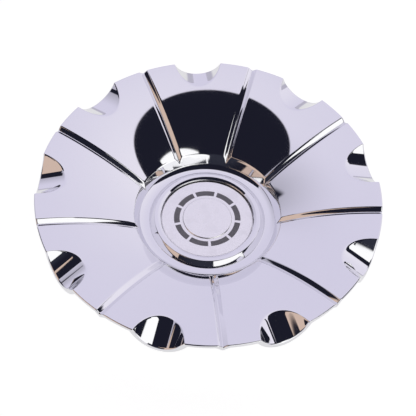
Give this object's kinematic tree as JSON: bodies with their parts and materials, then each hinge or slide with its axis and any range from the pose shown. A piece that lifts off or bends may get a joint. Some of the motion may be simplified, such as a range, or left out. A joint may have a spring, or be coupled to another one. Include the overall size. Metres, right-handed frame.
{
  "type": "wheel centre cap",
  "caption": "Round chrome wheel centre cap with a dished grooved face, scooped rim pockets, a satin medallion and snap legs behind.",
  "frame": {"origin": "on the cap's axis, at the level of the ends of the snap legs", "axes": "+Z along the axis towards the front face, +X through a groove"},
  "size_m": [0.19, 0.19, 0.0483],
  "materials": {
    "chrome_plate": "bright chrome plate on a plastic moulding",
    "satin_metal": "satin, with dark grey painted fields",
    "foam_tape": "matt closed-cell foam tape",
    "spring_wire": "drawn spring wire, oiled"
  },
  "bodies": {
    "root": {"cap_shell": "chrome_plate", "medallion": "satin_metal", "adhesive_pad": "foam_tape", "retaining_ring": "spring_wire"}
  },
  "joints": []
}
